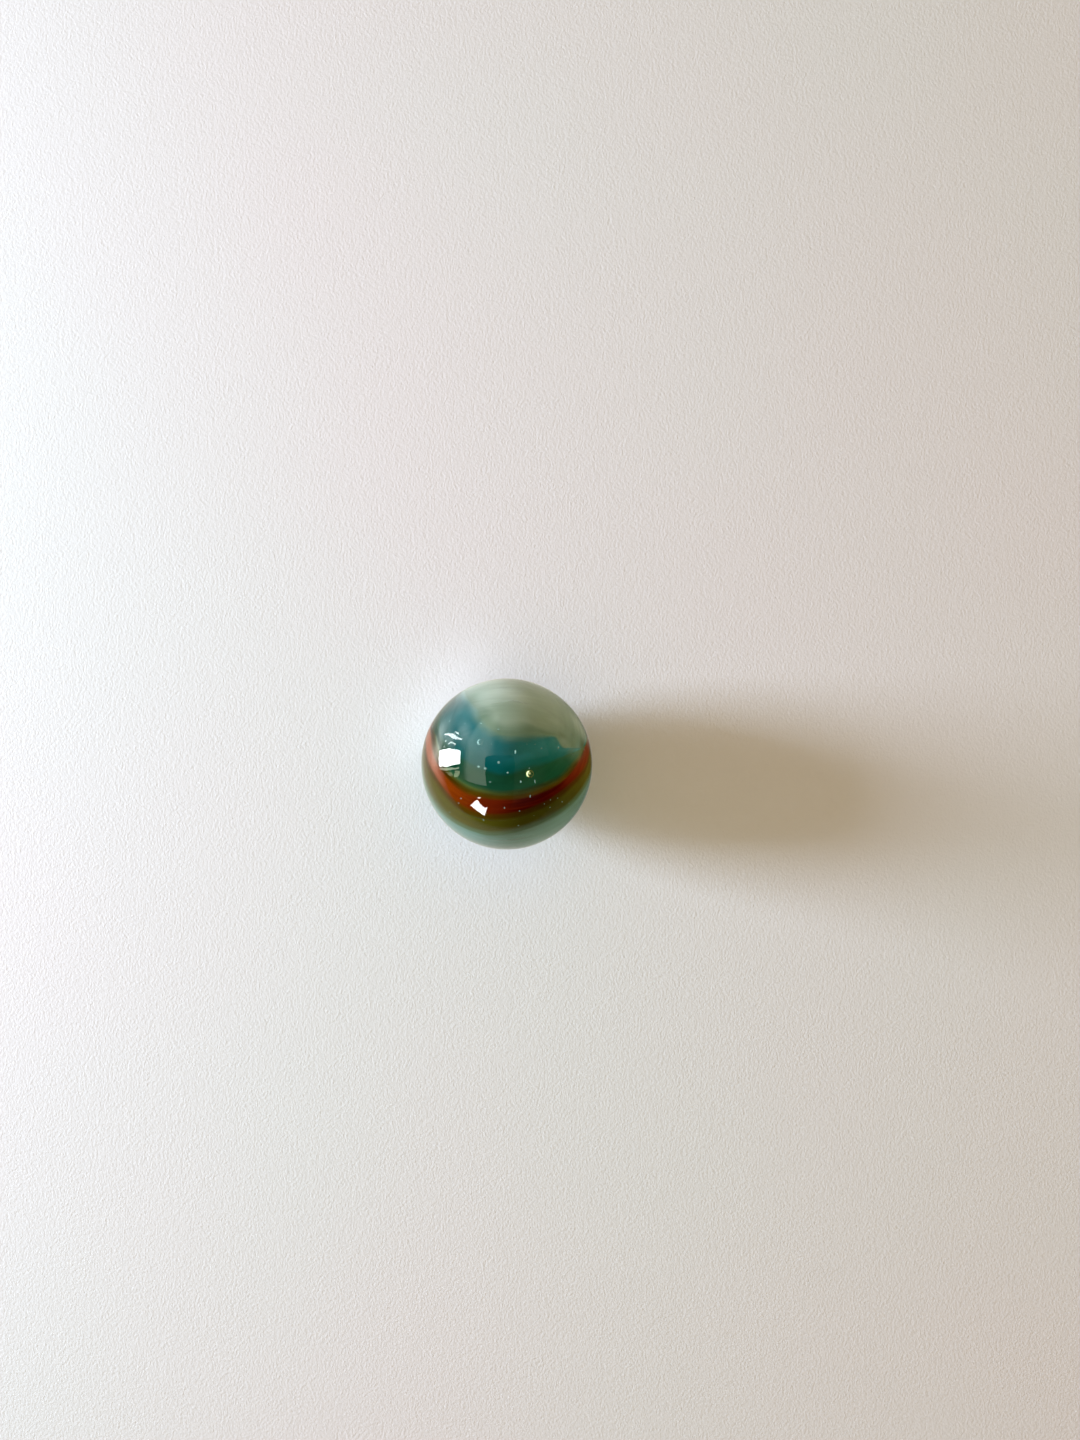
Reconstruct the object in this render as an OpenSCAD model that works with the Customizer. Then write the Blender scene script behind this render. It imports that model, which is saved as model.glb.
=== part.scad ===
// Glass playing marble: one solid ball, cast and rolled from a single gob of fused glass.
// The colours run through the glass and divide nothing, so the ball is one piece.
// Frame: origin at the ball's centre, +Z up, millimetres.

/* [Ball] */
// Diameter of the ball
ball_d = 16; // [10:0.5:50]

/* [Glass] */
// Colour that the mixed glass has from a distance
glass_colour = "cadetblue"; // [cadetblue, darkseagreen, steelblue, olive, firebrick, ivory]

/* [Hidden] */
// Sides of the round that the ball is drawn with
round_sides = 128;

// The ball, with no flat, seam or hole anywhere on it
module marble() {
  color(glass_colour)
    sphere(d = ball_d, $fn = round_sides);
}

marble();
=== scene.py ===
"""Glass marble: clear glass over milky, teal, green, olive and red glass, rolled into one ball.

Lengths are in metres. The swirl runs round a pole that leans out of the top of the ball: a place on
it is a turn about the pole, in degrees from the lowest side of the face towards +X, and a lean, in
degrees away from the pole. A bearing is a way along the floor, in degrees round from +X.
"""
import math
import random

import bmesh
import bpy
import numpy as np
from bpy.props import FloatProperty, FloatVectorProperty, IntProperty, PointerProperty
from bpy.types import Operator, Panel, PropertyGroup
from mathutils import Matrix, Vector, noise


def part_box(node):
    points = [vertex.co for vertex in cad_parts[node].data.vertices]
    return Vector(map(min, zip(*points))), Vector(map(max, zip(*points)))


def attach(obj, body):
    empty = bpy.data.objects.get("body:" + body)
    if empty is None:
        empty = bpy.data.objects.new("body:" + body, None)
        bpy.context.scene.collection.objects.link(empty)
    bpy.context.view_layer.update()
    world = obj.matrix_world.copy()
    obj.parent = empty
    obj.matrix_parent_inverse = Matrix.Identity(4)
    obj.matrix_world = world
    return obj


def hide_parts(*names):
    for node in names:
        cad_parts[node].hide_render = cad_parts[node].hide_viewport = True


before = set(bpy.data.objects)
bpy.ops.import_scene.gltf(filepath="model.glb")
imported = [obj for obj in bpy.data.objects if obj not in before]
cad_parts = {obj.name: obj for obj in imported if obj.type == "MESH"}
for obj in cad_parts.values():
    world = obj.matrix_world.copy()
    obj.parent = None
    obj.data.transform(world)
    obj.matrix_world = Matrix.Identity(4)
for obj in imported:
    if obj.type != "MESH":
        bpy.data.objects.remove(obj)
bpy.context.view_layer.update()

bl_info = {
    "name": "Glass Marble",
    "version": (1, 0, 0),
    "blender": (4, 5, 0),
    "location": "View3D > Sidebar > Marble",
    "description": "Builds a swirled glass marble on white paper, with its lights and camera",
    "category": "Add Mesh",
}

MM = 0.001
BODY = "root"
NODE = "marble"
BALL_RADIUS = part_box(NODE)[1].z
BALL_CUTS = 119  # cuts across each of the six faces that a ball is made from
THREAD_SIDES = 8
THREAD_STEPS = 12  # rings from one point of a thread's way to the next
THREAD_FLATNESS = 0.25  # a thread's thickness, as a share of its width
BUBBLE_ROOM = 0.42  # the biggest bubble's radius, as a share of the clear glass's depth
SPIN_STEPS = 96
WAVER_SEED = 7  # without one, the noise of the windows' outlines would start from the clock

# Where each colour of the swirl ends, going out from the pole: (turn, lean) in degrees
MILK_END = (
    (-180, 80), (-160, 74), (-146, 60), (-136, 43), (-122, 27.5), (-107, 18.5), (-87, 16.5),
    (-66, 14.5), (-42, 14), (-20, 15), (0, 16.5), (30, 18.5), (50, 21.5), (58, 24.5), (66, 29),
    (69.5, 32), (72, 46), (75, 51.5), (78, 55.5), (82, 60), (88, 63.5), (94, 66.5), (102, 70.5),
    (115, 75), (150, 82),
)
TEAL_END = (
    (-180, 85), (-150, 80), (-130, 62), (-100, 54), (-68, 43), (-45, 40), (-20, 39.5), (0, 40.5),
    (25, 39), (45, 42), (60, 46), (69, 51), (76, 56), (82, 61), (94, 67.6), (115, 77), (150, 84),
)
GREEN_END = (
    (-180, 88), (-150, 84), (-125, 70), (-103, 63), (-92, 56), (-79, 54.5), (-60, 56), (-40, 55.5),
    (-18, 54.5), (10, 54.5), (32, 55), (46, 58), (60, 59.7), (71, 60.5), (81, 61.5), (94, 68),
    (115, 79), (150, 87),
)
RED_START = (
    (-180, 96), (-150, 88), (-125, 73), (-104, 65), (-93, 59.5), (-83, 58.5), (-60, 58), (-48, 58),
    (-38, 59), (-28, 60), (-16, 58.5), (0, 57.5), (28, 58), (52, 60), (66, 61.5), (76, 62.3),
    (83, 62.8), (94, 70), (115, 84), (150, 96),
)
RED_END = (
    (-180, 104), (-150, 97), (-125, 84), (-105, 74), (-91, 67.5), (-78, 65.8), (-63, 64.5),
    (-52, 65.8), (-40, 67.8), (-28, 68.9), (-10, 69.3), (5, 67.5), (22, 65.4), (40, 64.6), (52, 65.2),
    (65, 67.5), (76, 70.5), (84, 71.5), (94, 74), (115, 87), (150, 99),
)
BROWN_END = (
    (-180, 112), (-150, 106), (-120, 90), (-100, 82), (-79, 80), (-61, 86.5), (-45, 90), (-35, 91),
    (-12, 90.5), (5, 86), (17, 83.5), (31, 81.5), (46, 82.5), (60, 84), (76, 85.5), (95, 90),
    (120, 96), (150, 106),
)
COLOUR_ENDS = (MILK_END, TEAL_END, GREEN_END, RED_START, RED_END, BROWN_END)
LAST_BAND = len(COLOUR_ENDS) + 1
THINNEST_BAND = 0.2  # degrees of lean
ROUNDING = 2.6  # degrees of turn over which a profile's corners are rounded off

# How orange the ribbon is along its length; its palest, coral end near turn -80 is partly painted
# glare beside the window's reflection: (turn, share)
RIPENESS = (
    (-180, 0.4), (-110, 0.8), (-80, 1.0), (-62, 0.9), (-45, 0.56), (-30, 0.5), (-15, 0.27), (0, 0.19),
    (15, 0.06), (30, 0.04), (45, 0.1), (60, 0.4), (72, 0.52), (84, 0.62), (130, 0.5),
)

# How bright the dark glass and the olive on both sides of the ribbon are round the swirl: partly
# their own tone and partly painted light and shade, standing in for light that spreads through the
# translucent glass: (turn, share)
DARK_TONE_AND_PAINTED_LIGHT = (
    (-180, 0.8), (-150, 0.5), (-120, 0.6), (-105, 1.0), (-90, 0.92), (-60, 0.96), (-30, 0.86),
    (0, 1.05), (30, 1.65), (45, 1.6), (60, 1.75), (70, 1.85), (80, 2.2), (110, 1.1), (150, 1.0),
)
UPPER_TONE_AND_PAINTED_LIGHT = (
    (-180, 1.0), (-120, 1.8), (-90, 2.4), (-45, 2.6), (-30, 2.2), (-15, 1.4), (0, 1.0), (15, 0.6),
    (30, 0.7), (60, 1.4), (80, 2.1), (120, 1.2),
)
LOWER_TONE_AND_PAINTED_LIGHT = (
    (-180, 1.0), (-90, 0.85), (-60, 1.0), (-30, 1.1), (0, 0.9), (15, 0.65), (30, 0.6), (60, 1.0),
    (76, 1.5), (90, 1.7), (150, 1.0),
)

# The fold where the milk laps over the teal: turn and lean, their reaches, and its slant in degrees of
# turn for each degree of lean
FOLD_AT = (71, 40)
FOLD_REACH = (8, 6)
FOLD_SLANT = 1.45

# Clear glass over the colours: (band, share of the deepest well), and how wide in degrees the dark
# glass is where the well is deepest
WELL_WIDTH = 30
WELL = ((0, 0.0), (0.95, 0.0), (1.6, 0.7), (2.5, 1.0), (3.0, 0.85), (3.9, 0.0), (7, 0.0))

# Soft clouds in the glass: turn, lean, reach along the swirl, reach across it, strength. The pale ones
# are partly milky wisps and partly painted glare beside the window's reflection, at turns -60 to -100
MILK_AND_GLARE_CLOUDS = (
    (-90, 50, 8, 4.5, 0.25), (-77, 55, 12, 3.5, 0.2), (-60, 33, 10, 6, 0.04), (-76, 30, 9, 6, 0.16),
    (-77, 43, 7, 5, 0.22), (-152, 45, 23, 20, 0.48), (-168, 19, 22, 9, 0.5), (98, 71, 6, 9, 0.18),
    (104, 60, 9, 9, 0.4), (160, 50, 50, 25, 0.45), (92, 34, 3, 6, 0.1), (74, 44, 3, 5, 0.1),
    (-170, 120, 60, 20, 0.4), (-97, 47, 7, 9, 0.14), (76, 57, 6, 6, 0.05),
)
OLIVE_CLOUDS = (
    (62, 19, 10, 5, 0.12), (90, 38, 9, 16, 0.06), (79, 41, 2, 4, 0.25), (83, 61.5, 8, 3, 0.8),
    (88, 82, 16, 12, 0.2), (-52, 82, 20, 6, 0.2), (120, 110, 40, 10, 0.25), (-33, 47, 9, 5, 0.2),
    (-40, 53, 10, 3, 0.3), (75, 52, 5, 2.5, 0.35),
)

# Threads of glass drawn out over the swirl: tone from pale (0) to olive (1), width in millimetres,
# strength, and their way as (turn, lean)
THREADS = (
    (0.05, 0.22, 0.9, ((-126, 13), (-158, 10.5), (164, 11.7), (135, 15), (118, 19.6))),
    (0.05, 0.18, 0.8, ((-145, 28.8), (-170, 26), (162, 26.8), (140, 30))),
    (0.6, 0.26, 0.4, ((-50, 70), (-37, 72.5), (-27, 74), (-15, 73.5), (-4, 73), (12, 72))),
    (0.1, 0.24, 0.7, ((-30, 92.5), (-8, 94.3), (4, 93.6), (22, 90))),
    (0.1, 0.5, 0.3, ((116, 24), (102, 33), (91, 45), (86, 54))),
    (0.05, 0.3, 1.0, ((100, 95), (130, 101), (160, 112), (-170, 117), (-140, 113))),
    (0.8, 0.26, 1.0, ((120, 88), (145, 97), (170, 108), (-165, 109), (-140, 100), (-115, 86))),
    (0.2, 0.3, 1.0, ((60, 118), (100, 124), (150, 131), (-160, 133), (-110, 126), (-70, 119))),
    (0.15, 0.24, 1.0, ((-20, 122), (20, 121), (60, 126), (100, 136))),
    (0.05, 0.28, 1.0, ((110, 50), (135, 58), (165, 66), (-170, 68))),
)

# Air bubbles of the face: turn, lean, radius in millimetres, stretch, and the stretch's bearing
FACE_BUBBLES = (
    (16, 27, 0.085, 2.3, 90), (-6.5, 33, 0.11, 1.2, 90), (-27.5, 39, 0.1, 1.2, 0),
    (-20, 38.5, 0.1, 1.3, -20), (3.6, 39.5, 0.09, 1, 0), (15, 46.7, 0.07, 1.6, 90),
    (27.3, 49.5, 0.06, 3.2, 105), (-12.8, 46.6, 0.06, 1.6, 0), (65.5, 42, 0.09, 1, 0),
    (83.6, 63.5, 0.09, 1.5, 90), (33.7, 65.4, 0.09, 1, 0), (41.8, 72.4, 0.07, 1.4, 120),
    (28.6, 66.1, 0.06, 1, 0), (39.3, 67.4, 0.06, 1, 0), (32, 70.8, 0.06, 1.2, 0),
    (46.8, 78.5, 0.06, 1, 0), (-32.5, 63.7, 0.08, 1, 0), (-33.5, 68, 0.06, 1, 0),
    (19.7, 57.1, 0.05, 3, 90), (0, 62.6, 0.05, 2, 90), (-17.6, 12, 0.06, 1.8, 0),
    (10.4, 65.8, 0.06, 1, 0), (-14.2, 74, 0.05, 2.4, 90), (-22.4, 22.5, 0.05, 1, 0),
    (71.2, 54.2, 0.05, 1.4, 0), (8.8, 77.6, 0.06, 1, 0), (56, 83.6, 0.05, 1, 0),
    (26.2, 39.7, 0.05, 1, 0), (-97, 40, 0.07, 1, 0), (50, 33, 0.05, 1.2, 0),
)

# Bigger bubbles that are seen through: turn, lean, radius in millimetres, share of gold, strength of
# the painted reflection on the wall
CLEAR_BUBBLES = (
    (-40, 24.5, 0.3, 0.0, 1.0), (25, 43.3, 0.36, 1.0, 1.0), (66, 32, 0.34, 0.0, 0.22),
    (-25, 28, 0.22, 0.0, 0.18),
)

# The low window that lights the ball: colour, bearing, distance in metres, and lowest and highest
# elevation and half the width in degrees
DAYLIGHT = (0.73, 0.85, 1.06)
LIGHT_BEARING = 173
LIGHT_DISTANCE = 0.275
LIGHT_ELEVATIONS = (3, 26)
LIGHT_HALF_WIDTH = 8

# What its light leaves on the wall behind it: place, the way it shines, size, share of the brightness
WALL_LIGHT_AT = Vector((-0.32, 0, 0.125))
WALL_LIGHT_WAY = Vector((-0.9, 0, -0.6))
WALL_LIGHT_SIZE = (0.24, 0.16)
WALL_LIGHT_SHARE = 1 / 9

# Strips of light that the glass throws on the paper: name, bearing, brightness, colour
THROWN_LIGHTS = (
    ("thrown_light", 143, 2.8, (0.86, 0.95, 1.12)),
    ("faint_thrown_light", 252, 1.0, (0.6, 0.72, 1.2)),
)
THROWN_DISTANCE = 8.5 * MM
THROWN_HEIGHT = -3.3 * MM
THROWN_SIZE = (13 * MM, 1 * MM)

# What the glass mirrors of two upright windows: bearing, distance in millimetres, and parts, each of
# them a brightness, a warmth, and an outline of (to the side, up) in millimetres
WINDOWS = (
    (LIGHT_BEARING, 52, {
        "window_pane": (34, 0, (
            (-3.5, -4.5), (-7.3, 10), (-9.3, 30.5), (6, 32.5), (7, 20), (8.4, 11), (8.6, -2),
        )),
        "blind_slat_high": (16, 0, (
            (-16.2, -7.5), (-20, -0.5), (-22, 9), (-21.5, 17), (-23.4, 27), (-20.6, 25), (-19, 17),
            (-16.6, 11), (-18, 1),
        )),
        "blind_slat_end": (12, 0.2, ((-25.4, 7), (-26, 16), (-24.2, 16.5), (-23.8, 7.5))),
        "blind_slat_low": (12, 0.2, (
            (-10.9, 6), (-14.2, 9.6), (-14.4, 18.6), (-12.9, 18.6), (-12.9, 10.4), (-10.5, 7),
        )),
        "blind_knot_high": (9, 0.2, ((-12.9, -1), (-12.9, 1.4), (-11.6, 1.4), (-11.6, -1))),
        "blind_knot_low": (7, 0.2, ((-8.1, 0.2), (-8.1, 3), (-6.6, 3), (-6.6, 0.2))),
        "sill": (6, 0.7, (
            (10.2, -3), (9.4, 9), (9.5, 19), (9.3, 31), (11, 31), (11.4, 18), (12, 4),
        )),
        "sill_edge": (4.2, 1, (
            (13.2, 23), (12.6, 27), (12.8, 32), (18.4, 31), (20.8, 26), (19.2, 21),
        )),
        "sill_corner": (2.8, 1, ((13.6, 8), (14.1, 17.5), (17.4, 20), (17.6, 13.5))),
    }),
    (237, 200, {
        "far_window": (28, 0, (
            (-24, 120), (-7, 110), (8, 100), (21, 100), (27, 112), (35, 104), (32, 80), (37, 56),
            (24, 56), (-2, 61), (-28, 60),
        )),
        "far_window_top": (20, 0, ((-28, 135), (-13, 147), (-15, 132))),
    }),
)

# What it mirrors overhead, in millimetres: the ceiling, its dimmer part, and a dark card below them
CEILING_HEIGHT = 112
CEILING = ((-300, -60), (-40, -60), (40, 10), (180, 40), (180, 420), (-300, 420))
FAR_CEILING = ((20, -200), (180, -200), (180, 40), (40, 10), (20, -7.5))
CARD_HEIGHT = 101
CARD_SIDES = (-49, -130, 20, 22.5)
CARD_CORNER = 9

CAMERA_ASIDE = (3.1 * MM, 4.1 * MM)


def display(red, green, blue):
    """A colour's light from its display values, 0 to 255."""
    return tuple(
        c / 12.92 if c <= 0.04045 else ((c + 0.055) / 1.055) ** 2.4
        for c in (v / 255 for v in (red, green, blue))
    )


# ---- settings


def colour_property(name, description, *values):
    """A colour setting, with its default given as display values."""
    return FloatVectorProperty(
        name=name, description=description, subtype="COLOR", size=3, min=0, max=1,
        default=display(*values),
    )


def length_property(name, description, millimetres):
    """A length setting, with its default given in millimetres."""
    return FloatProperty(
        name=name, description=description, default=millimetres * MM, unit="LENGTH", precision=6,
    )


class GlassSizes(PropertyGroup):
    """Sizes of the glass."""

    pole_tilt: FloatProperty(
        name="Pole tilt", description="Lean of the swirl's pole from straight up, towards +Y",
        default=math.radians(36), subtype="ANGLE",
    )
    casing: length_property("Casing", "Thinnest clear glass over the colours", 0.16)
    well: length_property("Well", "Extra clear glass over the dark green, where it is deepest", 1.0)
    ripple: length_property("Ripple", "Height of the ripples that the rollers left", 0.0035)
    seeds: IntProperty(
        name="Seed bubbles", description="Small air bubbles scattered through the clear glass",
        default=40, min=0,
    )


class GlassColours(PropertyGroup):
    """Colours of the glass."""

    pale_milk: colour_property("Pale milk", "Whitest wisps of the milky glass", 205, 216, 200)
    milk: colour_property("Milk", "Milky glass", 149, 166, 143)
    grey_milk: colour_property("Grey milk", "Milky glass where it thins over the teal", 108, 132, 106)
    teal: colour_property("Teal", "Blue-green glass", 24, 94, 93)
    deep_teal: colour_property("Deep teal", "Blue-green glass at its deepest", 8, 84, 79)
    green: colour_property("Green", "Dark green glass", 21, 71, 47)
    olive: colour_property("Olive", "Green glass stained by the red", 64, 72, 28)
    deep_red: colour_property("Deep red", "Red ribbon where it is thickest", 68, 5, 3)
    red: colour_property("Red", "Red ribbon", 102, 29, 6)
    ember: colour_property("Ember", "Orange stretch of the red ribbon", 128, 52, 4)
    # Coral is partly the ribbon thinning over milky glass and partly painted glare beside the window's
    # reflection
    coral: colour_property("Coral", "Ribbon where it thins over the milky glass", 156, 90, 60)
    umber: colour_property("Umber", "Brown along both edges of the ribbon", 74, 54, 4)
    moss: colour_property("Moss", "Olive glass below the ribbon", 80, 80, 16)
    sage: colour_property("Sage", "Grey-green glass that the olive fades into", 88, 116, 80)
    mint: colour_property("Mint", "Grey-green glass of the base", 118, 156, 142)


class StageSizes(PropertyGroup):
    """The paper, the lights and the camera."""

    camera_height: length_property("Camera height", "How far the camera is above the ball", 101.3)
    lens: FloatProperty(
        name="Lens", description="Focal length of the camera", default=27, unit="CAMERA",
    )
    window_light: FloatProperty(
        name="Window light", description="Brightness of the low window on the left", default=64,
    )
    room_light: FloatProperty(
        name="Room light", description="Brightness of the warm light from above", default=1.0,
    )
    paper_tooth: length_property("Paper tooth", "Height of the paper's grain", 0.03)


class MarbleSettings(PropertyGroup):
    """Everything that a user would change."""

    sizes: PointerProperty(type=GlassSizes)
    colours: PointerProperty(type=GlassColours)
    stage: PointerProperty(type=StageSizes)


# ---- shader maths


class Number:
    """A number in a material. Arithmetic on it adds Math nodes."""

    def __init__(self, recipe, socket):
        self.recipe = recipe
        self.socket = socket

    def math(self, operation, *values):
        node = self.recipe.node("ShaderNodeMath", {"operation": operation}, dict(enumerate(values)))
        return Number(self.recipe, node.outputs[0])

    def __add__(self, other):
        return self.math("ADD", self, other)

    __radd__ = __add__

    def __sub__(self, other):
        return self.math("SUBTRACT", self, other)

    def __rsub__(self, other):
        return self.math("SUBTRACT", other, self)

    def __mul__(self, other):
        return self.math("MULTIPLY", self, other)

    __rmul__ = __mul__

    def __truediv__(self, other):
        return self.math("DIVIDE", self, other)

    def rise(self, low, high):
        """0 below low and 1 above high, with a smooth rise between. High may be below low."""
        node = self.recipe.node(
            "ShaderNodeMapRange",
            {"interpolation_type": "SMOOTHSTEP"},
            {"Value": self, "From Min": low, "From Max": high},
        )
        return Number(self.recipe, node.outputs["Result"])


class Recipe:
    """The nodes of one material."""

    def __init__(self, name):
        self.material = bpy.data.materials.new(name)
        self.material.use_nodes = True
        self.tree = self.material.node_tree
        self.tree.nodes.clear()

    def node(self, kind, settings=None, inputs=None):
        """Adds a node, makes its settings, then fills its sockets with values or links."""
        node = self.tree.nodes.new(kind)
        for name, value in (settings or {}).items():
            if name == "stops":
                fill_ramp(node.color_ramp, value)
            else:
                setattr(node, name, value)
        for name, value in (inputs or {}).items():
            socket = node.inputs[name]
            source = value.socket if isinstance(value, Number) else value
            if isinstance(source, bpy.types.NodeSocket):
                self.tree.links.new(source, socket)
            elif socket.type == "RGBA" and len(source) == 3:
                socket.default_value = (*source, 1)
            else:
                socket.default_value = source
        return node

    def vector(self, name):
        """A vector that the mesh holds under that name."""
        return self.node("ShaderNodeAttribute", {"attribute_name": name}).outputs["Vector"]

    def number(self, name):
        """A number that the mesh holds under that name."""
        return Number(self, self.node("ShaderNodeAttribute", {"attribute_name": name}).outputs["Fac"])

    def stretch(self, vector, *scale):
        """A vector with each of its parts scaled."""
        settings = {"operation": "MULTIPLY"}
        return self.node("ShaderNodeVectorMath", settings, {0: vector, 1: scale}).outputs[0]

    def noise(self, vector, scale=1.0, detail=3.0, roughness=0.5):
        """Smooth noise, from about -0.5 to 0.5."""
        values = {"Vector": vector, "Scale": scale, "Detail": detail, "Roughness": roughness}
        node = self.node("ShaderNodeTexNoise", {"noise_dimensions": "3D"}, values)
        return Number(self, node.outputs["Fac"]) - 0.5

    def mottled(self, scale, low, high, first, second):
        """A colour that wanders between two over the surface."""
        cloud = self.noise(self.place(), scale=scale, detail=2)
        return self.mix(cloud.rise(low, high), first, second)

    def ramp(self, number, stops):
        """A colour for each value from 0 to 1."""
        node = self.node("ShaderNodeValToRGB", {"stops": stops}, {"Fac": number})
        return node.outputs["Color"]

    def mix(self, share, first, second, blend="MIX"):
        """The first colour, with a share of the second."""
        settings = {"data_type": "RGBA", "blend_type": blend}
        return self.node("ShaderNodeMix", settings, {0: share, 6: first, 7: second}).outputs[2]

    def shade(self, colour, number):
        """A colour made lighter or darker by a number."""
        grey = self.node("ShaderNodeCombineXYZ", None, {0: number, 1: number, 2: number}).outputs[0]
        return self.mix(1.0, colour, grey, "MULTIPLY")

    def bump(self, height, distance):
        """A normal that follows a height."""
        values = {"Height": height, "Distance": distance, "Strength": 1.0}
        return self.node("ShaderNodeBump", None, values).outputs["Normal"]

    def place(self):
        """Where each point is on the object, in metres."""
        return self.node("ShaderNodeTexCoord").outputs["Object"]

    def part(self, vector, axis):
        """One part of a vector."""
        return Number(self, self.node("ShaderNodeSeparateXYZ", None, {0: vector}).outputs[axis])

    def surface(self, **values):
        """A Principled surface as the material's result. An underscore stands for a space."""
        named = {name.replace("_", " "): value for name, value in values.items()}
        return self.result(self.node("ShaderNodeBsdfPrincipled", None, named))

    def shining(self, colour, brightness=1.0):
        """A black surface that shines, as the material's result."""
        return self.surface(
            Base_Color=(0.0, 0.0, 0.0),
            Roughness=1.0,
            Specular_IOR_Level=0.0,
            Emission_Color=colour,
            Emission_Strength=brightness,
        )

    def result(self, shader):
        """The finished material."""
        self.node("ShaderNodeOutputMaterial", None, {"Surface": shader.outputs[0]})
        return self.material


def fill_ramp(ramp, stops):
    """Gives a colour ramp its stops, each a place and a colour."""
    ramp.interpolation = "EASE"
    while len(ramp.elements) < len(stops):
        ramp.elements.new(1)
    for element, (place, colour) in zip(ramp.elements, stops):
        element.position = place
        element.color = (*colour, 1)


# ---- materials


def clear_glass():
    """Clear glass, fire polished, with the faintest green and a fine orange peel."""
    recipe = Recipe("clear_glass")
    peel = recipe.noise(recipe.place(), scale=1500)
    return recipe.surface(
        Base_Color=recipe.mottled(260, -0.2, 0.3, (0.98, 1.0, 0.99), (0.93, 0.985, 0.955)),
        Roughness=0.0,
        IOR=1.5,
        Transmission_Weight=1.0,
        Normal=recipe.bump(peel, 0.0006 * MM),
    )


def bubble_air():
    """A bubble's thin wall, painted pale and silvery as a painted reflection, and seen through wherever
    that paint is missing.
    """
    recipe = Recipe("bubble_air")
    film = recipe.noise(recipe.place(), scale=5000, detail=2)
    silver = recipe.number("silver")
    tint = recipe.mix(film.rise(-0.2, 0.3), display(176, 212, 200), display(140, 190, 178))
    # Where the painted reflection is strongest, golden bubbles get a pale painted glint
    gold = recipe.mix(silver.rise(0.55, 0.95), display(150, 160, 70), display(246, 250, 190))
    return recipe.surface(
        Base_Color=recipe.mix(recipe.number("gold"), tint, gold),
        Metallic=0.2,
        Roughness=0.3 + film * 0.2,
        Specular_IOR_Level=0.2,
        Alpha=silver * (1 + film * 0.2),
    )


def thread_glass(colours):
    """Fine threads, from milky to olive, that fade and brighten along their length."""
    recipe = Recipe("thread_glass")
    tone = recipe.number("tone")
    mottle = recipe.noise(recipe.place(), scale=900)
    colour = recipe.ramp(tone + mottle * 0.2, (
        (0.0, colours.pale_milk), (0.35, colours.milk), (0.6, colours.sage), (0.85, colours.moss),
        (1.0, colours.olive),
    ))
    return recipe.surface(
        Base_Color=colour,
        Roughness=0.5 + mottle * 0.3,
        Specular_IOR_Level=0.0,
        Alpha=recipe.number("veil") * (0.35 + mottle * 0.8),
    )


def swirl_glass(colours):
    """The coloured glass: bands that run round the pole, drawn out into threads and wisps."""
    recipe = Recipe("coloured_glass")
    band = recipe.number("band")
    flow = recipe.vector("flow")
    cap_flow = recipe.vector("cap_flow")
    cap = recipe.number("cap")
    drift = recipe.noise(recipe.stretch(flow, 2.0, 2.0, 0.9), detail=2)
    patches = recipe.noise(recipe.stretch(flow, 1.3, 1.3, 1.6), detail=2)

    def streaks_of(along, across, detail, roughness):
        """Noise drawn out along the flow, round the pole and level over the milky cap."""
        round_pole, level = (
            recipe.noise(recipe.stretch(way, along, along, across), detail=detail, roughness=roughness)
            for way in (flow, cap_flow)
        )
        return round_pole + cap * (level - round_pole)

    threads = streaks_of(2.2, 7.0, 4, 0.55)
    wisps = streaks_of(1.6, 15.0, 3, 0.5)
    wandering = band + drift * 0.2 + threads * 0.16
    stops = (
        (0.0, colours.milk), (0.28, colours.milk), (0.85, colours.grey_milk), (1.22, colours.teal),
        (1.55, colours.teal), (1.88, colours.deep_teal), (2.18, colours.green),
        (2.78, colours.green), (3.08, colours.olive), (3.5, colours.umber), (5.1, colours.umber),
        (5.28, colours.moss), (5.6, colours.moss), (5.88, colours.sage), (6.1, colours.mint),
    )
    colour = recipe.ramp(wandering / LAST_BAND, [(at / LAST_BAND, c) for at, c in stops])
    ripe = recipe.number("ripeness") + threads * 0.3 + wisps * 0.15
    ribbon = recipe.ramp(ripe, (
        (0.0, colours.deep_red), (0.28, colours.red), (0.62, colours.ember), (1.0, colours.coral),
    ))
    inside = wandering.rise(3.45, 4.12) * wandering.rise(5.12, 4.8)
    colour = recipe.mix(inside, colour, ribbon)
    olive = recipe.number("olive_cloud") * (1 + wisps * 1.5)
    colour = recipe.mix(olive, colour, colours.olive)
    stain = ripe * band.rise(4.9, 5.3) * band.rise(6.5, 5.8)
    colour = recipe.mix(stain * 0.14, colour, colours.ember)
    # Pale clouds: partly milky wisps, partly painted glare beside the window's reflection
    milky = recipe.number("milky_cloud") * (1 + threads * 0.9)
    pale = wisps.rise(0.0, 0.25) * band.rise(1.2, 0.5) * patches.rise(-0.15, 0.2)
    colour = recipe.mix(milky, colour, colours.pale_milk)
    colour = recipe.mix(pale * 0.18, colour, colours.pale_milk)
    streaks = 1 + (threads * 0.3 + wisps * 0.2 * patches.rise(-0.2, 0.2)) * (1 - cap * 0.5)
    return recipe.surface(
        # The colour is lightened and darkened by the painted light and shade held in glow
        Base_Color=recipe.shade(colour, streaks * recipe.number("glow")),
        Roughness=0.6 + threads * 0.3,
        Specular_IOR_Level=0.0,
        Subsurface_Weight=0.35,
        Subsurface_Radius=(1.0, 1.0, 0.9),
        Subsurface_Scale=0.22 * MM,
    )


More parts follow.
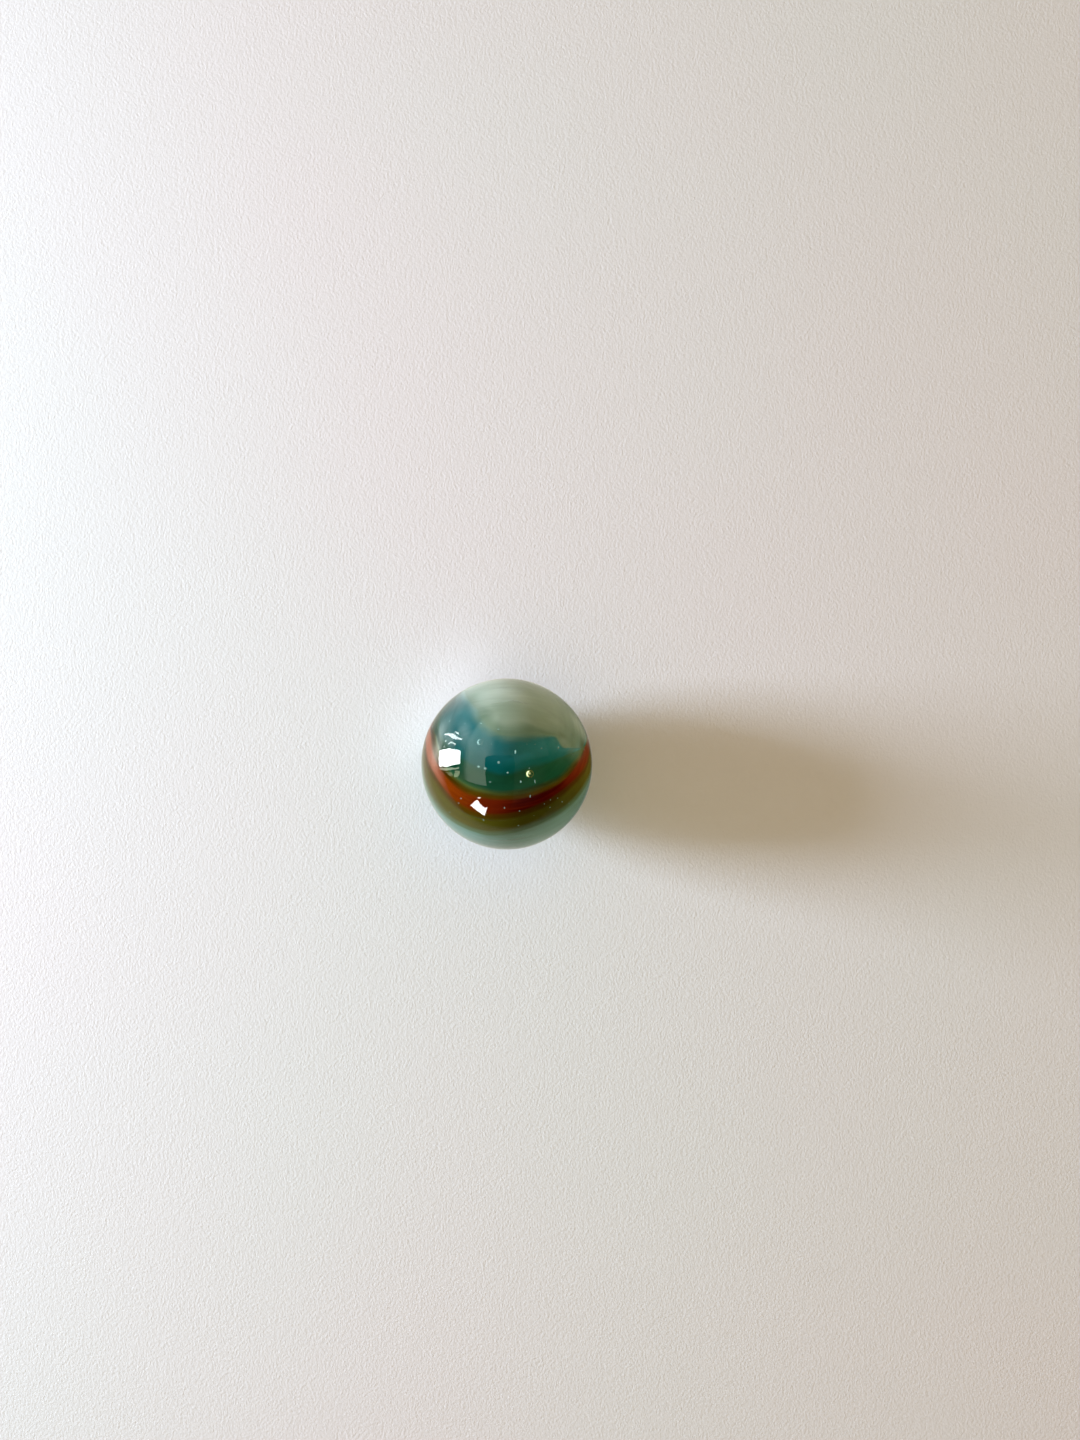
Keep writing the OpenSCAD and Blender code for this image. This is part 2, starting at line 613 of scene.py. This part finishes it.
def white_paper(tooth):
    """Matt white paper with a fine, slightly fibrous tooth."""
    recipe = Recipe("white_paper")
    place = recipe.place()
    grain = recipe.noise(place, scale=3500, roughness=0.6)
    fibres = recipe.noise(recipe.stretch(place, 1.0, 0.7, 1.0), scale=5200, detail=2)
    rosy, greenish = display(233, 228, 226), display(229, 231, 227)
    return recipe.surface(
        Base_Color=recipe.mottled(14, -0.25, 0.25, rosy, greenish),
        Roughness=1.0,
        Specular_IOR_Level=0.0,
        Normal=recipe.bump(grain + fibres, tooth),
    )


def glow(name, brightness, warmth):
    """Light of a window, from white to the cream of its sill, with the unevenness of real glass."""
    recipe = Recipe(name)
    white = recipe.mottled(60, -0.3, 0.3, (1.0, 1.0, 1.0), (0.94, 0.98, 1.0))
    return recipe.shining(recipe.mix(warmth, white, (0.95, 1.0, 0.62)), brightness)


def surroundings_glow():
    """Lit paper and walls."""
    recipe = Recipe("surroundings_glow")
    cream = recipe.mottled(30, -0.3, 0.3, (1.0, 0.95, 0.82), (1.0, 0.96, 0.88))
    return recipe.shining(recipe.shade(cream, recipe.number("light")))


def ceiling_glow():
    """A dim ceiling that grows bright towards the window side."""
    recipe = Recipe("ceiling_glow")
    place = recipe.place()
    side = recipe.part(place, 0)
    depth = recipe.part(place, 1)
    bright = side.rise(-0.02, -0.06) * side.rise(-0.18, -0.12) * depth.rise(-0.09, -0.05)
    fade = depth.rise(0.42, 0.12) * side.rise(-0.30, -0.16)
    return recipe.shining(recipe.shade((0.88, 1.0, 0.82), (0.25 + bright * 1.9) * fade))


def far_ceiling_glow():
    """The dimmer part of the ceiling, which fades out away from the window."""
    recipe = Recipe("far_ceiling_glow")
    place = recipe.place()
    fade = recipe.part(place, 1).rise(-0.2, -0.05) * recipe.part(place, 0).rise(0.18, 0.08)
    return recipe.shining(recipe.shade((1.0, 0.95, 0.7), fade * 0.13))


def dark_card():
    """Matt black card."""
    recipe = Recipe("dark_card")
    black = recipe.mottled(400, -0.2, 0.2, (0.0, 0.0, 0.0), (0.004, 0.004, 0.004))
    return recipe.surface(Base_Color=black, Roughness=1.0, Specular_IOR_Level=0.0)


# ---- meshes


def swirl_axes(sizes):
    """The pole, the way to the face's right and the way down the face, as rows."""
    tilt = sizes.pole_tilt
    pole = (0, math.sin(tilt), math.cos(tilt))
    down = (0, -math.cos(tilt), math.sin(tilt))
    return np.array((pole, (1, 0, 0), down))


def direction(turn, lean, axes):
    """The direction from the ball's centre at a turn and a lean, in degrees."""
    t, a = np.radians(turn), np.radians(lean)
    parts = np.stack((np.cos(a), np.sin(a) * np.sin(t), np.sin(a) * np.cos(t)), axis=-1)
    return parts @ axes


def profile(points):
    """The value at each whole degree of turn, from -180, rounded off between the points."""
    turns, values = zip(*points)
    degrees = np.arange(-180, 180)
    raw = np.interp(degrees, turns, values, period=360)
    shifts = np.arange(-9, 10)
    weights = np.exp(-0.5 * (shifts / ROUNDING) ** 2)
    weights /= weights.sum()
    return sum(w * np.roll(raw, shift) for w, shift in zip(weights, shifts))


def read_profile(values, turn):
    """Reads one or more profiles at each turn."""
    place = turn + 180
    before = np.floor(place).astype(int) % 360
    share = place - np.floor(place)
    return values[..., before] * (1 - share) + values[..., (before + 1) % 360] * share


ENDS = np.array([profile(points) for points in COLOUR_ENDS])
RIPE = profile(RIPENESS)
TONES_AND_PAINTED_LIGHT = np.array([profile(points) for points in (DARK_TONE_AND_PAINTED_LIGHT, UPPER_TONE_AND_PAINTED_LIGHT, LOWER_TONE_AND_PAINTED_LIGHT)])


def turn_and_lean(directions, axes):
    """Each direction's turn and lean, in degrees."""
    along, side, down = (directions @ axis for axis in axes)
    return np.degrees(np.arctan2(side, down)), np.degrees(np.arccos(np.clip(along, -1, 1)))


def bands(turn, lean):
    """The band of each place, and how wide the dark glass is there, as a share. The band is 0 at the
    pole and counts one at each end of a colour. The dark glass lies between milk and ribbon."""
    off_turn, off_lean = turn - FOLD_AT[0], lean - FOLD_AT[1]
    near_fold = np.exp(-(off_turn / FOLD_REACH[0]) ** 2 - (off_lean / FOLD_REACH[1]) ** 2)
    turn = turn + FOLD_SLANT * off_lean * near_fold
    edges = np.maximum.accumulate(read_profile(ENDS, turn), axis=0)
    edges = np.vstack([np.zeros(len(lean)), edges, np.full(len(lean), 180.0)])
    width = np.maximum(np.diff(edges, axis=0), THINNEST_BAND)
    band = np.clip((lean - edges[:-1]) / width, 0, 1).sum(axis=0)
    milk_end, red_start = edges[1], edges[4]
    return band, np.clip((red_start - milk_end) / WELL_WIDTH, 0, 1)


def clouds(turn, lean, spots):
    """How much of the clouds lies at each place. A cloud fades to nothing at twice its reach."""
    total = np.zeros(len(turn))
    for at_turn, at_lean, along, across, strength in spots:
        away = (turn - at_turn + 180) % 360 - 180
        away = away * np.sin(np.radians((lean + at_lean) / 2))
        off = (away / along) ** 2 + ((lean - at_lean) / across) ** 2
        total += strength * np.clip(1 - off / 4, 0, None) ** 4
    return np.clip(total, 0, 1)


def smooth_steps(values, points):
    """Reads values off a curve through the points that is level at each of them."""
    at, height = np.array(points, float).T
    i = np.clip(np.searchsorted(at, values, side="right") - 1, 0, len(at) - 2)
    share = np.clip((values - at[i]) / (at[i + 1] - at[i]), 0, 1)
    share = share * share * (3 - 2 * share)
    return height[i] + (height[i + 1] - height[i]) * share


def colour_radius(directions, sizes):
    """The radius of the coloured glass in each direction."""
    band, dark_width = bands(*turn_and_lean(directions, swirl_axes(sizes)))
    depth = sizes.casing + sizes.well * smooth_steps(band, WELL) * dark_width
    return BALL_RADIUS - depth


def finished_mesh(bm, name):
    """A mesh of the finished shape, with smooth shading."""
    mesh = bpy.data.meshes.new(name)
    bm.to_mesh(mesh)
    bm.free()
    mesh.shade_smooth()
    return mesh


def round_mesh(name):
    """A ball of radius 1, made from a cube whose faces are cut into even squares."""
    bm = bmesh.new()
    bmesh.ops.create_cube(bm, size=2)
    bmesh.ops.subdivide_edges(bm, edges=bm.edges, cuts=BALL_CUTS, use_grid_fill=True)
    mesh = finished_mesh(bm, name)
    points = np.tan(read_points(mesh) * (math.pi / 4))
    write_points(mesh, points / np.linalg.norm(points, axis=1, keepdims=True))
    return mesh


def read_points(mesh):
    """The mesh's points as rows."""
    points = np.empty(len(mesh.vertices) * 3)
    mesh.vertices.foreach_get("co", points)
    return points.reshape(-1, 3)


def write_points(mesh, points):
    """Moves the mesh's points to the rows."""
    mesh.vertices.foreach_set("co", points.ravel())
    mesh.update()


def paint(mesh, **layers):
    """Stores numbers or vectors by name, one for each point of the mesh."""
    for name, values in layers.items():
        values = np.asarray(values, np.float32)
        kind, field = ("FLOAT", "value") if values.ndim == 1 else ("FLOAT_VECTOR", "vector")
        attribute = mesh.attributes.new(name, kind, "POINT")
        attribute.data.foreach_set(field, values.ravel())


def show(mesh, material):
    """Adds a mesh to the scene under its own name, with its material."""
    mesh.materials.append(material)
    shown = bpy.data.objects.new(mesh.name, mesh)
    bpy.context.scene.collection.objects.link(shown)
    return shown


def show_glass(mesh, material):
    """Adds a piece of the marble, which rides on the ball's body and stands for its node."""
    piece = show(mesh, material)
    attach(piece, BODY)
    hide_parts(NODE)
    return piece


# ---- operators


class MARBLE_OT_casing(Operator):
    """Add the clear glass that the ball is cased in, with its rippled surface"""

    bl_idname = "marble.casing"
    bl_label = "Clear casing"

    def execute(self, context):
        sizes = context.scene.marble.sizes
        mesh = round_mesh("clear_casing")
        points = read_points(mesh)
        dips = np.array([self.dip(Vector(point)) for point in points])
        write_points(mesh, points * (BALL_RADIUS - sizes.ripple * dips)[:, None])
        casing = show_glass(mesh, clear_glass())
        casing.visible_shadow = False
        casing.visible_diffuse = False
        return {"FINISHED"}

    @staticmethod
    def dip(point):
        """How far a point of the surface lies under the true ball, in ripples."""
        broad = noise.noise(point * 2.2)
        fine = noise.noise(point * 9 + Vector((5, 0, 0)))
        rolled = noise.noise(Vector((point.x * 3, point.y * 11, point.z * 3)))
        rough = noise.noise(point * 1.3 + Vector((0, 7, 0))) + 0.5
        return 1.2 + 0.8 * broad + 0.12 * fine + 0.35 * rolled * max(rough, 0)


class MARBLE_OT_swirl(Operator):
    """Add the coloured glass, deep under the dark glass and close under the ribbon"""

    bl_idname = "marble.swirl"
    bl_label = "Coloured swirl"

    def execute(self, context):
        settings = context.scene.marble
        axes = swirl_axes(settings.sizes)
        mesh = round_mesh("colour_swirl")
        points = read_points(mesh)
        turn, lean = turn_and_lean(points, axes)
        write_points(mesh, points * colour_radius(points, settings.sizes)[:, None])
        band = bands(turn, lean)[0]
        level = np.degrees(np.arcsin(np.clip(points @ axes[2], -1, 1)))
        paint(
            mesh,
            band=band,
            flow=self.flow(points, lean, axes),
            cap_flow=self.flow(points, level, axes),
            cap=smooth_steps(lean, ((24, 1), (46, 0))),
            ripeness=read_profile(RIPE, turn),
            # glow holds painted light and shade: paler towards +X, away from the window
            glow=self.brightness(points, band, turn),
            # pale clouds, partly painted glare beside the window's reflection
            milky_cloud=clouds(turn, lean, MILK_AND_GLARE_CLOUDS),
            olive_cloud=clouds(turn, lean, OLIVE_CLOUDS),
        )
        show_glass(mesh, swirl_glass(settings.colours))
        return {"FINISHED"}

    @staticmethod
    def brightness(points, band, turn):
        """Painted light and shade in the glass's colour: paler towards +X, away from the window, as
        painted light carried through the translucent glass, and by its own profile of tone and painted
        light where it is dark.
        """
        dark, upper, lower = read_profile(TONES_AND_PAINTED_LIGHT, turn) - 1
        dark *= smooth_steps(band, ((0.8, 0), (1.4, 1), (2.75, 1), (3.1, 0)))
        upper *= smooth_steps(band, ((2.75, 0), (3.1, 1), (3.5, 1), (3.9, 0)))
        lower *= smooth_steps(band, ((4.8, 0), (5.1, 1), (5.8, 1), (6.2, 0)))
        return np.exp(0.5 * points[:, 0]) * (1 + dark + upper + lower)

    @staticmethod
    def flow(points, across, axes):
        """Two ways along the flow, and one across it that is measured in steps of 20 degrees."""
        _, side, down = (points @ axis for axis in axes)
        return np.column_stack((side, down, across / 20))


class MARBLE_OT_threads(Operator):
    """Add the fine threads that are drawn out over the coloured glass"""

    bl_idname = "marble.threads"
    bl_label = "Glass threads"

    def execute(self, context):
        settings = context.scene.marble
        bm = bmesh.new()
        tone_layer = bm.verts.layers.float.new("tone")
        veil_layer = bm.verts.layers.float.new("veil")
        for tone, width, strength, way in THREADS:
            for ring, size in self.rings(np.array(way, float), width * MM, settings.sizes, bm):
                for k, vert in enumerate(ring):
                    vert[tone_layer] = tone
                    vert[veil_layer] = strength * size * abs(math.sin(math.tau * k / len(ring)))
        bmesh.ops.recalc_face_normals(bm, faces=bm.faces)
        mesh = finished_mesh(bm, "glass_threads")
        threads = show_glass(mesh, thread_glass(settings.colours))
        threads.visible_shadow = False
        return {"FINISHED"}

    @staticmethod
    def rings(way, width, sizes, bm):
        """Adds one tapered, flattened thread. Gives its rings of points and each one's taper."""
        turns = np.degrees(np.unwrap(np.radians(way[:, 0])))
        at = np.linspace(0, len(way) - 1, THREAD_STEPS * (len(way) - 1) + 1)
        turn, lean = (natural_curve(row, at) for row in (turns, way[:, 1]))
        ways = direction(turn, lean, swirl_axes(sizes))
        radius = colour_radius(ways, sizes)
        centres = ways * radius[:, None]
        along = np.gradient(centres, axis=0)
        along /= np.linalg.norm(along, axis=1, keepdims=True)
        across = np.cross(ways, along)
        taper = np.sin(np.linspace(0, math.pi, len(at))) ** 0.6
        made = []
        for centre, out, side, size in zip(centres, ways, across, taper):
            ring = []
            for k in range(THREAD_SIDES):
                a = math.tau * k / THREAD_SIDES
                reach = side * math.cos(a) + out * math.sin(a) * THREAD_FLATNESS
                ring.append(bm.verts.new(centre + reach * width / 2 * max(size, 0.02)))
            made.append((ring, size))
        for (first, _), (second, _) in zip(made, made[1:]):
            for k in range(THREAD_SIDES):
                after = (k + 1) % THREAD_SIDES
                bm.faces.new((first[k], first[after], second[after], second[k]))
        bm.faces.new(made[0][0])
        bm.faces.new(made[-1][0])
        return made


def natural_curve(values, at):
    """A smooth curve through the values, read at any place between the first (0) and the last."""
    slopes = np.gradient(values)
    i = np.clip(np.floor(at).astype(int), 0, len(values) - 2)
    s = at - i
    return (
        (2 * s**3 - 3 * s**2 + 1) * values[i] + (s**3 - 2 * s**2 + s) * slopes[i]
        + (3 * s**2 - 2 * s**3) * values[i + 1] + (s**3 - s**2) * slopes[i + 1]
    )


class MARBLE_OT_bubbles(Operator):
    """Add the air bubbles that the clear glass holds"""

    bl_idname = "marble.bubbles"
    bl_label = "Air bubbles"

    def execute(self, context):
        sizes = context.scene.marble.sizes
        axes = swirl_axes(sizes)
        bm = bmesh.new()
        silver = bm.verts.layers.float.new("silver")
        gold = bm.verts.layers.float.new("gold")
        for turn, lean, radius, stretch, bearing in FACE_BUBBLES:
            way = direction(turn, lean, axes)
            for vert, spot in self.bubble(bm, sizes, way, radius * MM, stretch, bearing):
                # Painted reflection on the bubble's wall, stronger on its outer side
                vert[silver] = 0.2 + 0.45 * max(spot.z, 0)
        for turn, lean, radius, share, strength in CLEAR_BUBBLES:
            way = direction(turn, lean, axes)
            for vert, spot in self.bubble(bm, sizes, way, radius * MM):
                vert[silver] = strength * self.painted_glint_at(spot, share)
                vert[gold] = share
        chance = random.Random(7)
        for _ in range(sizes.seeds):
            way = np.array([chance.gauss(0, 1) for _ in range(3)])
            way /= np.linalg.norm(way)
            radius = chance.uniform(0.015, 0.045) * MM
            stretch, bearing = chance.uniform(1, 2.2), chance.uniform(0, 180)
            for vert, _ in self.bubble(bm, sizes, way, radius, stretch, bearing):
                vert[silver] = 0.6
        bubbles = show_glass(finished_mesh(bm, "air_bubbles"), bubble_air())
        bubbles.visible_shadow = False
        return {"FINISHED"}

    @staticmethod
    def painted_glint_at(spot, gold):
        """How much painted reflection the wall of a clear bubble has at a spot of the ball of radius 1.
        It is a painted highlight in a crescent on the side of -X, towards the window, and on golden
        bubbles a painted ring of reflection and a painted glint as well."""
        x, y, up = spot
        if up < 0:
            return 0.0
        reach = math.hypot(x, y)
        ring = math.exp(-(((reach - 0.78) / 0.17) ** 2))
        crescent = ring * max(0.0, -x / max(reach, 0.01)) ** 1.5
        shine = math.exp(-(((x + 0.2) ** 2 + (y - 0.15) ** 2) / 0.14))
        return min(1.0, crescent * (1.1 - 0.4 * gold) + ring * (0.22 + 0.4 * gold) + shine * gold)

    @staticmethod
    def bubble(bm, sizes, way, radius, stretch=1.0, bearing=0):
        """One bubble in the middle of the clear glass, no wider than the glass is deep. Gives its
        points, each with its spot on a ball of radius 1."""
        floor = colour_radius(way[None, :], sizes)[0]
        depth = BALL_RADIUS - floor
        radius = min(radius, depth * BUBBLE_ROOM)
        out = Vector(way)
        along = around(bearing)
        if abs(along.dot(out)) > 0.9:
            along = Vector((0, 0, 1))
        along = (along - out * along.dot(out)).normalized()
        across = out.cross(along)
        rounds = 4 if radius > 0.15 * MM else 3 if radius > 0.06 * MM else 2
        made = bmesh.ops.create_icosphere(bm, subdivisions=rounds, radius=1)["verts"]
        spots = [vert.co.copy() for vert in made]
        centre = out * (floor + depth / 2)
        for vert, (x, y, z) in zip(made, spots):
            vert.co = centre + (along * (x * stretch) + across * y + out * z) * radius
        return list(zip(made, spots))


class MARBLE_OT_stage(Operator):
    """Add the paper, the lights, what the glass mirrors, and the camera"""

    bl_idname = "marble.stage"
    bl_label = "Paper, lights and camera"

    def execute(self, context):
        stage = context.scene.marble.stage
        self.paper(stage)
        self.lights(stage)
        self.mirrored()
        self.room(context.scene, stage)
        self.camera(context.scene, stage)
        context.scene.view_settings.view_transform = "Standard"
        return {"FINISHED"}

    @staticmethod
    def paper(stage):
        """A sheet of paper that is flat under the ball, and a sweep that carries it up all round."""
        flat, bend, top = 0.30, 0.75, 0.95
        floor = [(0, 0), (flat / 3, 0), (flat, 0)]
        sweep = [
            (flat + bend * math.sin(a), bend * (1 - math.cos(a)))
            for a in np.linspace(0, math.pi / 2, 25)
        ]
        sweep.append((flat + bend, top))
        paper = white_paper(stage.paper_tooth)
        for name, outline in (("paper", floor), ("paper_sweep", sweep)):
            sheet = spun(name, outline, paper)
            sheet.visible_glossy = False

    @staticmethod
    def lights(stage):
        """The low window's light, what it leaves on the wall, and what the ball throws on the paper."""
        low, high = (LIGHT_DISTANCE * math.tan(math.radians(e)) for e in LIGHT_ELEVATIONS)
        width = 2 * LIGHT_DISTANCE * math.tan(math.radians(LIGHT_HALF_WIDTH))
        towards = -around(LIGHT_BEARING)
        place = -towards * LIGHT_DISTANCE + Vector((0, 0, (low + high) / 2))
        area_light("window", (width, high - low), place, towards, stage.window_light, DAYLIGHT)
        wall = stage.window_light * WALL_LIGHT_SHARE
        area_light("wall_light", WALL_LIGHT_SIZE, WALL_LIGHT_AT, WALL_LIGHT_WAY, wall, DAYLIGHT)
        for name, bearing, brightness, colour in THROWN_LIGHTS:
            beside = around(bearing)
            place = beside * THROWN_DISTANCE + Vector((0, 0, THROWN_HEIGHT))
            towards = beside * 0.35 - Vector((0, 0, 1))
            area_light(name, THROWN_SIZE, place, towards, brightness, colour)

    @staticmethod
    def mirrored():
        """What the glass mirrors: windows, the floor and walls, the ceiling, and a dark card."""
        noise.seed_set(WAVER_SEED)
        for bearing, distance, parts in WINDOWS:
            foot, side = around(bearing) * distance, around(bearing + 90)
            for name, (brightness, warmth, outline) in parts.items():
                outline = wavering(outline, distance / 90)
                points = [(foot + side * s + Vector((0, 0, h))) * MM for s, h in outline]
                only_mirrored(card(name, points, glow(name, brightness, warmth)))
        only_mirrored(surroundings())
        for name, outline, height, material in (
            ("ceiling", CEILING, CEILING_HEIGHT, ceiling_glow()),
            ("far_ceiling", FAR_CEILING, CEILING_HEIGHT, far_ceiling_glow()),
            ("dark_card", rounded(*CARD_SIDES, CARD_CORNER), CARD_HEIGHT, dark_card()),
        ):
            points = [Vector((x, y, height)) * MM for x, y in outline]
            only_mirrored(card(name, points, material))

    @staticmethod
    def room(scene, stage):
        """Warm light from the room above, which the glass doesn't mirror."""
        world = bpy.data.worlds.new("room")
        scene.world = world
        world.use_nodes = True
        background = world.node_tree.nodes["Background"]
        background.inputs["Color"].default_value = (0.575, 0.46, 0.305, 1)
        background.inputs["Strength"].default_value = stage.room_light
        world.cycles_visibility.glossy = False

    @staticmethod
    def camera(scene, stage):
        """A camera that looks straight down, a little towards +X and +Y of the ball."""
        lens = bpy.data.cameras.new("camera")
        lens.lens = stage.lens
        lens.sensor_width = 36
        lens.clip_start = 1 * MM
        lens.clip_end = 10
        camera = bpy.data.objects.new("camera", lens)
        camera.location = (*CAMERA_ASIDE, stage.camera_height)
        scene.collection.objects.link(camera)
        scene.camera = camera


def spun(name, outline, material):
    """A surface spun round the upright line through the ball, from an outline of (reach, height)
    above the floor."""
    bm = bmesh.new()
    ways = [around(bearing) for bearing in np.linspace(0, 360, SPIN_STEPS, endpoint=False)]
    rings = []
    for r, h in outline:
        centre = Vector((0, 0, h - BALL_RADIUS))
        rings.append([bm.verts.new(centre + way * r) for way in ways])
    for inner, outer in zip(rings, rings[1:]):
        for k in range(SPIN_STEPS):
            bm.faces.new((inner[k], inner[k - 1], outer[k - 1], outer[k]))
    bmesh.ops.remove_doubles(bm, verts=bm.verts, dist=0.01 * MM)
    bmesh.ops.recalc_face_normals(bm, faces=bm.faces)
    return show(finished_mesh(bm, name), material)


def surroundings():
    """The paper and the foot of the walls as the glass mirrors them: dark under the ball and in
    its shadow but for a rim, brightest on the window's side, and fading with height."""
    reaches = (
        0.001, 0.003, 0.005, 0.0065, 0.008, 0.0095, 0.011, 0.013, 0.02, 0.028, 0.036, 0.045, 0.06,
        0.1, 0.16, 0.22, 0.29,
    )
    outline = [(r, 0) for r in reaches]
    outline += [(reaches[-1], h) for h in np.linspace(0.005, 0.04, 8)]
    round_about = spun("surroundings", outline, surroundings_glow())
    x, y, z = read_points(round_about.data).T
    reach = np.hypot(x, y)
    side = x / reach
    light = smooth_steps(side, ((-1, 0.78), (-0.2, 0.72), (0.3, 0.5), (0.93, 0.02), (1, 0.02)))
    near = ((0.001, 0.05), (0.0075, 1.05), (0.014, 1), (0.03, 0.62), (0.06, 0.6), (0.29, 0.35))
    light *= smooth_steps(reach, near)
    light *= smooth_steps(z + BALL_RADIUS, ((0, 1), (0.022, 0)))
    rim = smooth_steps(side, ((0, 0), (0.5, 1))) * smooth_steps(reach, ((0.009, 1), (0.012, 0)))
    light += 0.35 * rim * smooth_steps(reach, ((0.005, 0), (0.0075, 1)))
    off_window = np.degrees(np.arctan2(y, -x)) - (180 - LIGHT_BEARING)
    below_window = np.exp(-(off_window / 9) ** 2)
    light += 3 * below_window * smooth_steps(reach, ((0.02, 0), (0.045, 1), (0.06, 1), (0.1, 0)))
    paint(round_about.data, light=light)
    return round_about


def rounded(left, low, right, high, radius):
    """A rectangle's outline with round corners, from its sides."""
    left, low, right, high = left + radius, low + radius, right - radius, high - radius
    outline = []
    for x, y, start in ((right, low, -90), (right, high, 0), (left, high, 90), (left, low, 180)):
        for a in np.radians(np.linspace(start, start + 90, 7)):
            outline.append((x + radius * math.cos(a), y + radius * math.sin(a)))
    return outline


def wavering(outline, reach):
    """An outline in millimetres whose sides waver, as they do in glass that isn't quite even."""
    points = []
    for start, end in zip(outline, outline[1:] + outline[:1]):
        start, end = Vector(start), Vector(end)
        steps = max(2, round((end - start).length / (4 * reach)))
        for k in range(steps):
            point = start.lerp(end, k / steps)
            shift = noise.noise_vector(Vector((point.x, point.y, 3)) / (5 * reach))
            points.append((point.x + shift.x * reach, point.y + shift.y * reach))
    return points


def card(name, points, material):
    """A flat card with its corners at the points."""
    bm = bmesh.new()
    bm.faces.new([bm.verts.new(point) for point in points])
    return show(finished_mesh(bm, name), material)


def only_mirrored(thing):
    """Makes a thing of the stage show in mirrors and glass and nowhere else."""
    thing.visible_camera = False
    thing.visible_diffuse = False
    thing.visible_shadow = False


def around(bearing):
    """The level direction at a bearing."""
    b = math.radians(bearing)
    return Vector((math.cos(b), math.sin(b), 0))


def area_light(name, size, place, towards, brightness, colour):
    """A rectangular light that is seen only by what it lights."""
    data = bpy.data.lights.new(name, "AREA")
    data.shape = "RECTANGLE"
    data.size, data.size_y = size
    data.energy = brightness * math.pi * size[0] * size[1]
    data.color = colour
    light = bpy.data.objects.new(name, data)
    bpy.context.scene.collection.objects.link(light)
    light.location = place
    light.rotation_euler = (-towards).to_track_quat("Z", "Y").to_euler()
    light.visible_camera = False
    light.visible_glossy = False
    light.visible_transmission = False


class MARBLE_PT_panel(Panel):
    """The marble's settings and makers."""

    bl_label = "Glass Marble"
    bl_space_type = "VIEW_3D"
    bl_region_type = "UI"
    bl_category = "Marble"

    def draw(self, context):
        settings = context.scene.marble
        for group in (settings.sizes, settings.colours, settings.stage):
            box = self.layout.box()
            for name in group.__annotations__:
                box.prop(group, name)
        for maker in MAKERS:
            self.layout.operator(maker.bl_idname)


MAKERS = (
    MARBLE_OT_casing, MARBLE_OT_swirl, MARBLE_OT_threads, MARBLE_OT_bubbles, MARBLE_OT_stage,
)
CLASSES = (GlassSizes, GlassColours, StageSizes, MarbleSettings, *MAKERS, MARBLE_PT_panel)


def register():
    for cls in CLASSES:
        bpy.utils.register_class(cls)
    bpy.types.Scene.marble = PointerProperty(type=MarbleSettings)


def unregister():
    del bpy.types.Scene.marble
    for cls in reversed(CLASSES):
        bpy.utils.unregister_class(cls)


def main():
    """Builds the marble and its stage."""
    register()
    bpy.ops.marble.casing()
    bpy.ops.marble.swirl()
    bpy.ops.marble.threads()
    bpy.ops.marble.bubbles()
    bpy.ops.marble.stage()


if __name__ == "__main__":
    main()
